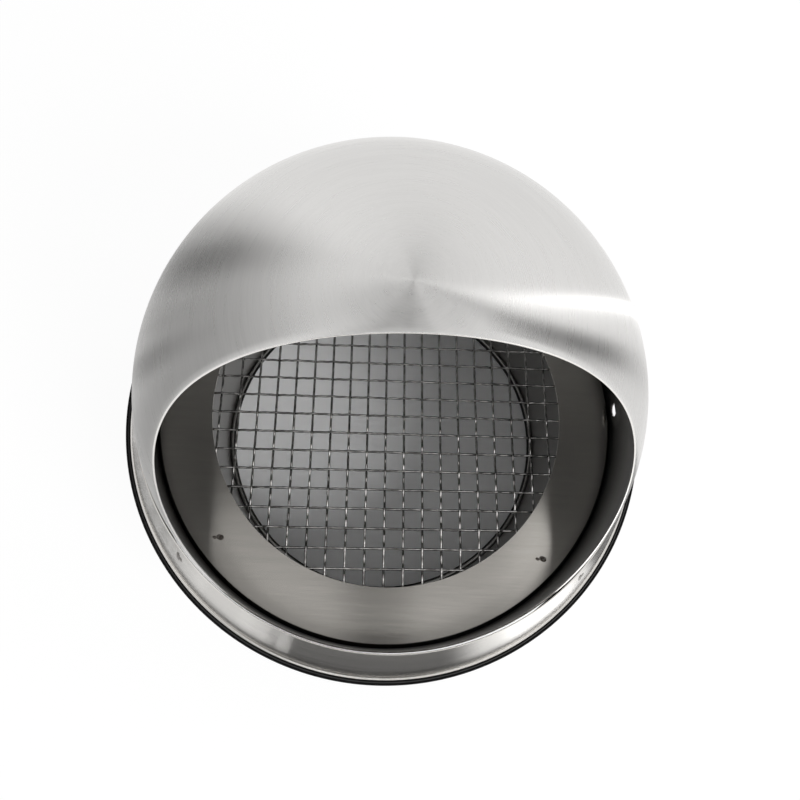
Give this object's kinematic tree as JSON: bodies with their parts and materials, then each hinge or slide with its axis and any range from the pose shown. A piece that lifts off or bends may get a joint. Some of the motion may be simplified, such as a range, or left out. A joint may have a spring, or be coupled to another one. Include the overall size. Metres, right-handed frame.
{
  "type": "wall vent hood",
  "caption": "Ball-shaped stainless wall hood for an exhaust duct, with a curved mouth, flared band, back plate, woven wire guard, duct collar and rubber wall gasket.",
  "frame": {"origin": "on the duct axis, at the rear end of the collar, which the part stands on", "axes": "+Z along the duct axis away from the wall, towards the nose of the dome; the mouth opens towards -Y, which is down once the hood is on a wall; +X to the right seen from the mouth"},
  "size_m": [0.2212, 0.2212, 0.1634],
  "materials": {
    "dome_steel": "spun and brushed round the nose",
    "band_steel": "brushed round the axis",
    "plate_steel": "straight fine brushed grain",
    "collar_steel": "dull rolled sheet",
    "wire_steel": "drawn wire, woven",
    "tab_steel": "plain sheet",
    "gasket_rubber": "black matt rubber"
  },
  "bodies": {
    "root": {"hood_dome": "dome_steel", "base_band": "band_steel", "back_plate": "plate_steel", "collar_tube": "collar_steel", "wire_mesh": "wire_steel", "wall_gasket": "gasket_rubber", "plate_tab_1": "tab_steel", "plate_tab_2": "tab_steel", "plate_tab_3": "tab_steel", "plate_tab_4": "tab_steel"}
  },
  "joints": []
}
